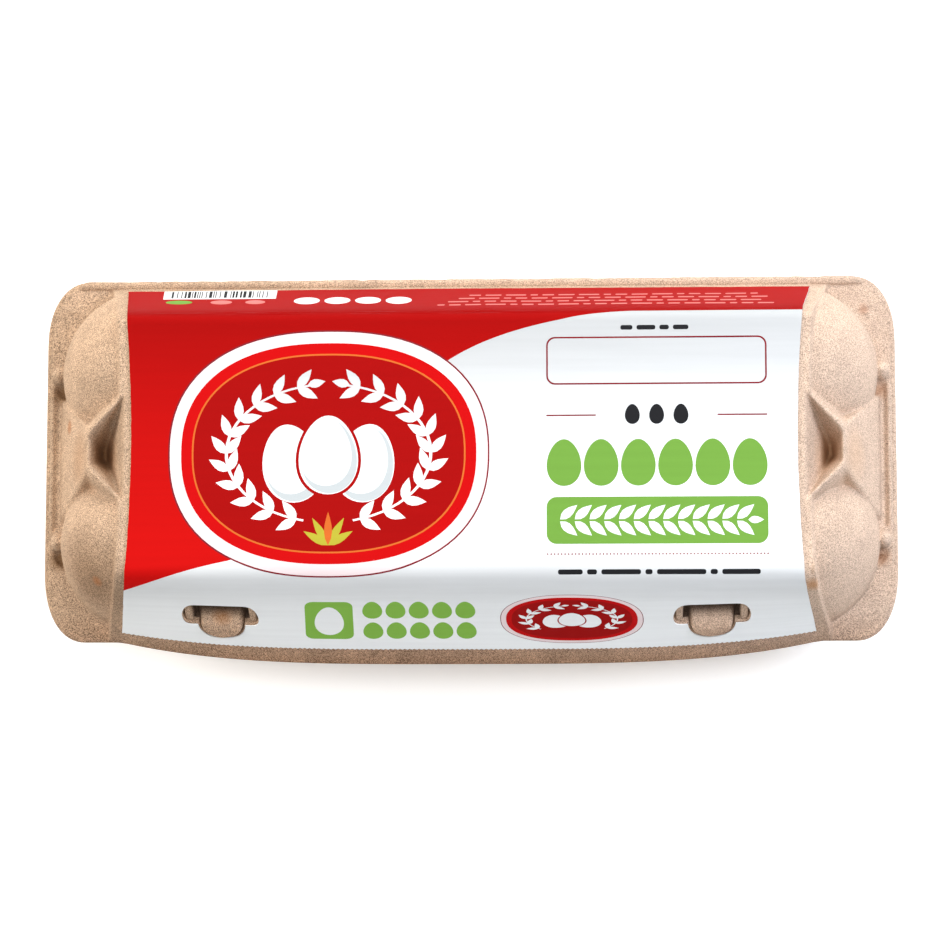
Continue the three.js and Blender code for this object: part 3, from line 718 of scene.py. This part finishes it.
def make_label():
    design_print()
    outline = label_outline()
    holes = [hole_on_label(side) for side in (-1, 1)]
    loops = [outline, *holes] + [shape for _, shape in prints]
    points, edges = [], []
    for loop in loops:
        first = len(points)
        points += loop
        edges += [(first + i, first + (i + 1) % len(loop)) for i in range(len(loop))]
    # Extra points keep the sheet round over the folds and let the colours fade smoothly
    for v in np.concatenate([np.arange(-74, -46, 3.0), np.arange(-46, -33, 0.8), np.arange(-32, 34, 4.0),
                             np.arange(34, 45, 0.7), np.arange(45, 72, 3.0)]):
        points += [(u + 0.01, v + 0.013) for u in np.arange(-105, 105.1, 3.0)]
    made = geometry.delaunay_2d_cdt([Vector(p) for p in points], edges, [], 0, 1e-5)
    flat = np.array([tuple(p) for p in made[0]])
    faces = np.array([f for f in made[2] if len(f) == 3])
    centres = flat[faces].mean(axis=1)
    keep = inside(centres, outline)
    for hole in holes:
        keep &= ~inside(centres, hole)
    faces, centres = faces[keep], centres[keep]
    used, compact = np.unique(faces, return_inverse=True)
    flat, faces = flat[used], compact.reshape(-1, 3)
    names = np.full(len(faces), "white", dtype=object)
    for name, shape in prints:
        corners = np.array(shape)
        low, high = corners.min(axis=0), corners.max(axis=0)
        index = np.nonzero(np.all((centres >= low) & (centres <= high), axis=1))[0]
        names[index[inside(centres[index], shape)]] = name
    u, v = flat[:, 0], flat[:, 1]
    y = np.array([np.interp(target, run_at(x), sheet_y) for x, target in flat])
    step = 0.05
    slope = (saddle_height(u, y + step) - saddle_height(u, y - step)) / (2 * step)
    long = np.hypot(1, slope)
    # The paper stands off the pulp a little, and its upper side waves
    outer, under = (
        np.stack([u, y - slope / long * lift, saddle_height(u, y) + lift / long], axis=-1)
        for lift in (PAPER_LIFT + PAPER - 0.15 + 0.08 * lumps(u, v, 14, 21), PAPER_LIFT * 0.6)
    )
    count = len(outer)
    # Triangles face outwards, and the border joins the two faces of the sheet
    a, b, c = (flat[faces[:, k]] for k in range(3))
    turn = (b[:, 0] - a[:, 0]) * (c[:, 1] - a[:, 1]) - (b[:, 1] - a[:, 1]) * (c[:, 0] - a[:, 0])
    faces = np.where(turn[:, None] > 0, faces, faces[:, ::-1])
    directed = {(f[k], f[(k + 1) % 3]) for f in faces.tolist() for k in range(3)}
    rim = [(p, q) for p, q in directed if (q, p) not in directed]
    all_faces = faces.tolist() + (faces[:, ::-1] + count).tolist()
    all_faces += [(q, p, p + count, q + count) for p, q in sorted(rim)]
    label = make_object("label_paper", np.concatenate([outer, under]), all_faces, paper)
    mesh = label.data
    # Painted light and shade: white and red are painted darker towards the back and lighter on the front
    # flap, and the grey of the white at the front fold is partly print and partly painted shade
    tone_v = [-75, -62, -50, -43, -40, -35, -29, -8, 8, 26, 39, 41, 48, 75]
    white_print_and_shading = [1.03, 1.03, 0.96, 0.78, 0.74, 0.86, 0.98, 1.0, 0.85, 0.62, 0.55, 0.55, 0.8, 0.9]
    red_painted_shading = [1.1, 1.1, 1.1, 1.05, 1.08, 1.08, 1.08, 0.98, 0.9, 0.75, 0.64, 0.55, 0.64, 0.7]
    # The cut edges stay crisp
    corners_at_rim = {frozenset(pair) for p, q in rim for pair in ((p, q), (p + count, q + count))}
    for edge in mesh.edges:
        edge.use_edge_sharp = frozenset(edge.vertices) in corners_at_rim
    layer = mesh.color_attributes.new("ink", "FLOAT_COLOR", "CORNER")
    uv = mesh.uv_layers.new(name="flat")
    both = np.concatenate([flat, flat])
    inks = {name: np.array(linear(code)[:3]) for name, code in INKS.items()}
    tones = {"white": white_print_and_shading, "red": red_painted_shading}
    colours, places = [], []
    for polygon in mesh.polygons:
        name = names[polygon.index] if polygon.index < len(faces) else "white"
        for corner in polygon.vertices:
            place = both[corner]
            tone = float(np.interp(place[1], tone_v, tones[name])) if name in tones else 1.0
            colours += [*(inks[name] * tone), 1.0]
            places += [*place]
    layer.data.foreach_set("color", colours)
    uv.data.foreach_set("uv", places)
    return label


# The tray ------------------------------------------------------------------------------------
def make_cup():
    """One cup: rounded squares that shrink to a flat foot, flared into the rim at the top."""
    # Height, share of the size below the rim, and how square it is, where 2 is round
    levels = [(0.25, 0.46, 2.1), (0.0, 0.5, 2.1), (0.0, 0.54, 2.1), (0.35, 0.585, 2.15), (1.4, 0.63, 2.2),
              (3.2, 0.68, 2.25), (6, 0.735, 2.3), (9.5, 0.795, 2.35), (13, 0.842, 2.4), (17, 0.888, 2.55),
              (21, 0.925, 2.7), (25, 0.955, 2.9), (28, 0.973, 3.0), (30.4, 0.99, 3.1), (31.8, 1.005, 3.2),
              (32.7, 1.035, 3.2), (33.0, 1.06, 3.2)]
    points = []
    for z, size, power in levels:
        for i in range(CUP_SIDES):
            angle = 2 * pi * (i + 0.5) / CUP_SIDES
            c, s = cos(angle), sin(angle)
            reach = size / (abs(c) ** power + abs(s) ** power) ** (1 / power)
            points.append((CUP_HALF_X * reach * c, CUP_HALF_Y * reach * s, z))
    return make_object("cup", points, tube_faces(len(levels), CUP_SIDES), shift=0)


def make_web():
    """One arch that joins two neighbouring cups under the rim."""
    section = [(-11, WEB_TOP_Z), (-9.4, 29), (-7.6, 25.6), (-5, 23), (-2, 21.8),
               (2, 21.8), (5, 23), (7.6, 25.6), (9.4, 29), (11, WEB_TOP_Z)]
    lengths = np.linspace(-WEB_HALF_LENGTH, WEB_HALF_LENGTH, 27)
    points = []
    for along in lengths:
        arch = 1 - min(abs(along) / WEB_ARCH_HALF, 1) ** 2
        points += [(along, across * (1 - 0.12 * arch), min(z + 2.0 * arch, WEB_TOP_Z))
                   for across, z in section]
    return make_object("web", points, tube_faces(len(lengths), len(section)), shift=0)


def rows_tree():
    """Geometry Nodes that repeat a moulded shape over the carton's grid of eggs."""
    tree = bpy.data.node_groups.new("repeat_over_rows", "GeometryNodeTree")
    tree.is_modifier = True
    for name, kind, way in (
        ("Geometry", "Geometry", "INPUT"), ("Shape", "Object", "INPUT"), ("Pitch Along", "Float", "INPUT"),
        ("Pitch Across", "Float", "INPUT"), ("Columns", "Int", "INPUT"), ("Rows", "Int", "INPUT"),
        ("Turn", "Float", "INPUT"), ("Material", "Material", "INPUT"), ("Geometry", "Geometry", "OUTPUT")
    ):
        tree.interface.new_socket(name, in_out=way, socket_type="NodeSocket" + kind)
    given = node(tree, "NodeGroupInput", {}).node.outputs
    lengths = []
    for count, pitch in (("Columns", "Pitch Along"), ("Rows", "Pitch Across")):
        gaps = node(tree, "Math", {"operation": "SUBTRACT", 0: given[count], 1: 1.0})
        lengths.append(node(tree, "Math", {"operation": "MULTIPLY", 0: gaps, 1: given[pitch]}))
    grid = node(tree, "GeometryNodeMeshGrid", {"Size X": lengths[0], "Size Y": lengths[1],
                                               "Vertices X": given["Columns"], "Vertices Y": given["Rows"]})
    shape = node(tree, "GeometryNodeObjectInfo",
                 {"transform_space": "RELATIVE", "Object": given["Shape"]}, "Geometry")
    turn = node(tree, "CombineXYZ", {"Z": given["Turn"]})
    placed = node(tree, "GeometryNodeInstanceOnPoints", {"Points": grid, "Instance": shape, "Rotation": turn})
    real = node(tree, "GeometryNodeRealizeInstances", {"Geometry": placed})
    painted = node(tree, "GeometryNodeSetMaterial", {"Geometry": real, "Material": given["Material"]})
    node(tree, "NodeGroupOutput", {"Geometry": painted})
    return tree


def repeat(tree, name, shape, columns, rows, pitch_across, turn=0.0):
    """The repeated shape as a plain mesh in its place."""
    piece = add_object(name, bpy.data.meshes.new(name))
    modifier = piece.modifiers.new("rows", "NODES")
    modifier.node_group = tree
    values = {"Shape": shape, "Pitch Along": EGG_PITCH_X * MM, "Pitch Across": pitch_across * MM,
              "Columns": columns, "Rows": rows, "Turn": turn, "Material": pulp}
    for item in tree.interface.items_tree:
        if item.in_out == "INPUT" and item.name in values:
            modifier[item.identifier] = values[item.name]
    plain_copy(piece)
    piece.data.transform(Matrix.Translation((0, SHIFT_Y * MM, 0)))
    return piece


def make_rim():
    """The tray's rim: a plate with rounded edges, a little longer than the lid and out to the hinge."""
    corner = CORNER_X + (HALF_LENGTH - CORNER_X) * np.sin(np.linspace(0, pi / 2, 16))
    near = np.append(np.arange(0, 117, 3.0), corner)
    xs = np.concatenate([-near[:0:-1], near])
    front = np.column_stack([xs, -rim_y(xs, True)])
    back = np.column_stack([xs, rim_y(xs, False) + HINGE_OUTER_Y - BACK_Y])
    outline = np.concatenate([front, back[::-1]]) * (1 + TRAY_LEDGE / HALF_LENGTH, 1)
    low = TRAY_TOP_Z - RIM_THICKNESS
    # How far in from the edge, and how high
    section = ((3.0, low), (0.7, low), (0.2, low + 0.25), (0.0, low + 0.75), (0.0, TRAY_TOP_Z - 0.6),
               (0.2, TRAY_TOP_Z - 0.15), (0.7, TRAY_TOP_Z), (3.0, TRAY_TOP_Z))
    rings = []
    for inset, z in section:
        ring = outline * (1 - inset / np.array([HALF_LENGTH, RIM_HALF_WIDTH]))
        rings.append(np.column_stack([ring, np.full(len(ring), z)]))
    count = len(outline)
    faces = tube_faces(len(rings), count, False)
    last, middle = (len(rings) - 1) * count, len(rings) * count
    for i in range(count):
        j = (i + 1) % count
        faces += [(j, i, middle), (last + i, last + j, middle + 1)]
    return make_object("rim", np.concatenate([*rings, [[0, 0, low], [0, 0, TRAY_TOP_Z]]]), faces)


def make_hinge():
    """The rolled strip along the back where lid and tray are joined, a little torn and wavy."""
    profile = [(53.5, 33.9), (53.5, 36.9), (54.1, 37.3), (54.8, 37.65),
               (55.4, 37.7), (55.95, 37.3), (56.25, 36.5), (56.3, 33.9)]
    xs = np.linspace(HINGE_HALF_LENGTH, -HINGE_HALF_LENGTH, 326)
    flat = 0 * xs
    wave = 0.22 * lumps(xs, flat, 7, 31) + 0.14 * lumps(xs, flat, 2.3, 32)
    rough = 0.16 * lumps(xs, flat, 4, 33) + 0.12 * lumps(xs, flat, 1.5, 34)
    points = []
    for x, high, out in zip(xs, wave, rough):
        # Both ends of the strip taper off towards a point inside it
        close = sqrt(min(HINGE_HALF_LENGTH - abs(x), HINGE_TAPER) / HINGE_TAPER)
        for step, (y, z) in enumerate(profile):
            if step not in (0, len(profile) - 1):
                y += min(out, 0.05) - 0.1 if y > 55 else 0
                z = HINGE_CORE_Z + (z - HINGE_CORE_Z) * close + high * close * 0.9
            points.append((x, y if step == 0 else HINGE_CORE_Y + (y - HINGE_CORE_Y) * close, z))
    return make_object("hinge", points, tube_faces(len(xs), len(profile)))


def make_tab(side):
    """A lock tab: a flap behind the front panel with a hooked knob that fills the hole."""
    lock = lock_frame(side)
    run = FRONT_Y + float(bow_at(LOCK_X)) - FOLD_Y
    drop = TOP_Z - PANEL_FOOT_Z
    foot = (TOP_Z - TAB_FOOT_Z) * hypot(run, drop) / drop
    a, s = np.meshgrid(np.linspace(-TAB_HALF_WIDTH, TAB_HALF_WIDTH, 109), np.linspace(TAB_TOP, foot, 125),
                       indexing="ij")
    front = -PULP_WALL - TAB_GAP
    half = HOLE_HALF - 0.04
    # Behind the hole's open parts the tab is hollowed out
    around = np.minimum(HOLE_WING_HALF + 0.6 - np.abs(a),
                        np.minimum(s - HOLE_TOP + 0.6, HOLE_WING_FOOT + 0.6 - s))
    base = front - 0.1 - 1.3 * ease((around + 0.4) / 0.8)
    # The knob is a wedge with a round foot: deep under the hole's top edge, proud at its lower edge
    lobe_s = HOLE_WING_FOOT - 0.2
    below = np.maximum(s - lobe_s, 0) / (HOLE_FOOT + 0.1 - lobe_s)
    depth_in = (1 - ((np.abs(a) / half) ** KNOB_POWER + below**KNOB_POWER) ** (1 / KNOB_POWER)) * half
    deep = front - 1.4
    knob_top = deep + (KNOB_PROUD - deep) * ease((s - HOLE_TOP - 2.5) / 9.5)
    share = ease((depth_in + 0.25) / 1.7) ** 0.5 * (s > HOLE_TOP - 2)
    # In the wings the tab's shoulders curl up almost to the panel
    in_wing = np.minimum(np.minimum(np.abs(a) - half - 1.3, HOLE_WING_HALF - 0.1 - np.abs(a)),
                         np.minimum(s - HOLE_TOP - 1.2, HOLE_WING_FOOT - 0.1 - s))
    shoulder = (-0.5 - base) * ease((in_wing + 0.15) / 0.8)
    rough = 0.11 * lumps(a, s, 2.0, 45 + side) + 0.06 * lumps(a, s, 0.9, 47 + side)
    w = base + np.maximum((knob_top - base) * share, shoulder) + rough
    w = np.where((share > 0.1) | (shoulder > 0.3), w, np.minimum(w, front))
    w = np.clip(w, front - TAB_THICKNESS + 0.3, KNOB_PROUD)
    border = grid_border(*a.shape)
    back = front - TAB_THICKNESS + 0.1
    places = [*zip(a.flat, s.flat, w.flat), *((a.flat[i], s.flat[i], back) for i in border),
              (0, (TAB_TOP + foot) / 2, back)]
    faces = grid_faces(*a.shape, True)
    close_below(faces, border, a.size, True)
    tab = make_object("tab", [tuple(lock_point(lock, *map(float, place))) for place in places], faces)
    # Painted shade: the deeper the tab lies behind the panel, the darker it is painted
    dark = 0.85 * ease((-0.3 - w) / 3.0)
    pinched = tab.data.attributes.new("pinched", "FLOAT", "POINT")
    pinched.data.foreach_set("value", np.append(dark, np.zeros(len(border) + 1)))
    return tab


def join(name, pieces):
    """Joins several meshes into one object at the origin."""
    bm = bmesh.new()
    for piece in pieces:
        bm.from_mesh(piece.data)
    mesh = bpy.data.meshes.new(name)
    bm.to_mesh(mesh)
    bm.free()
    mesh.materials.append(pulp)
    mesh.polygons.foreach_set("material_index", [0] * len(mesh.polygons))
    for piece in pieces:
        bpy.data.meshes.remove(piece.data)
    return add_object(name, mesh)


def make_tray():
    tree, cup, web = rows_tree(), make_cup(), make_web()
    grids = [repeat(tree, "cups", cup, 5, 2, 2 * EGG_ROW_Y),
             repeat(tree, "webs_along", web, 4, 2, 2 * EGG_ROW_Y),
             repeat(tree, "webs_across", web, 5, 1, 0.0, pi / 2)]
    bpy.data.meshes.remove(cup.data)
    bpy.data.meshes.remove(web.data)
    return join("tray_pulp", [make_rim(), make_hinge(), *grids, make_tab(-1), make_tab(1)])


lid = make_lid()
label = make_label()
tray = make_tray()
for piece, name, slot in ((lid, "lid", "pulp"), (tray, "tray", "pulp"), (label, "label", "label_paper")):
    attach(piece, "root")
    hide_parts(name)


# Floor, light and camera ---------------------------------------------------------------------
floor_material, floor_tree = new_material("pale_floor")
# Matt backdrop card, lit from behind like a light table, so that the shadows stay pale
finish_material(floor_tree, {"Base Color": linear("#f4f4f2"), "Roughness": 0.9,
                             "Emission Color": linear("#ffffff"), "Emission Strength": 0.3})
floor_mesh = bpy.data.meshes.new("floor")
floor_mesh.from_pydata([(-3, -3, 0), (3, -3, 0), (3, 3, 0), (-3, 3, 0)], [], [(0, 1, 2, 3)])
floor_mesh.materials.append(floor_material)
add_object("floor", floor_mesh)


def add_light(name, place, target, size, power, colour):
    data = bpy.data.lights.new(name, "AREA")
    data.shape = "RECTANGLE"
    data.size, data.size_y = size
    data.energy = power
    data.color = linear(colour)[:3]
    light = add_object(name, data)
    light.location = place
    light.rotation_euler = (Vector(target) - Vector(place)).to_track_quat("-Z", "Y").to_euler()


add_light("back_softbox", (0.05, 0.98, 0.66), (0, 0, 0.04), (1.3, 0.4), 12.5, "#fffdfa")
add_light("overhead", (0.0, -0.05, 1.4), (0, 0, 0.04), (0.5, 0.5), 6.6, "#ffffff")
add_light("right_softbox", (0.5, 0.1, 0.5), (0.08, 0, 0.04), (0.3, 0.3), 3.6, "#e6efff")
add_light("left_softbox", (-0.8, 0.1, 0.5), (0, 0, 0.04), (0.4, 0.4), 5.8, "#fffaf4")
world = bpy.data.worlds.new("studio")
world.use_nodes = True
world.node_tree.nodes["Background"].inputs["Color"].default_value = linear("#ffffff")
world.node_tree.nodes["Background"].inputs["Strength"].default_value = 0.2
bpy.context.scene.world = world
bpy.context.scene.view_settings.view_transform = "Standard"

CAMERA_PLACE = Vector((0.045, -0.09991, 0.94462))
CAMERA_TARGET = Vector((0.0012, -0.0016, 0.050))
camera_data = bpy.data.cameras.new("camera")
camera_data.lens = 113.6
camera_data.sensor_width = 36
camera_data.clip_end = 10
camera = add_object("camera", camera_data)
camera.location = CAMERA_PLACE
ahead = (CAMERA_TARGET - CAMERA_PLACE).normalized()
right = ahead.cross(Vector((0, 1, 0))).normalized()
above = right.cross(ahead)
camera.rotation_euler = Matrix((right, above, -ahead)).transposed().to_euler()
bpy.context.scene.camera = camera
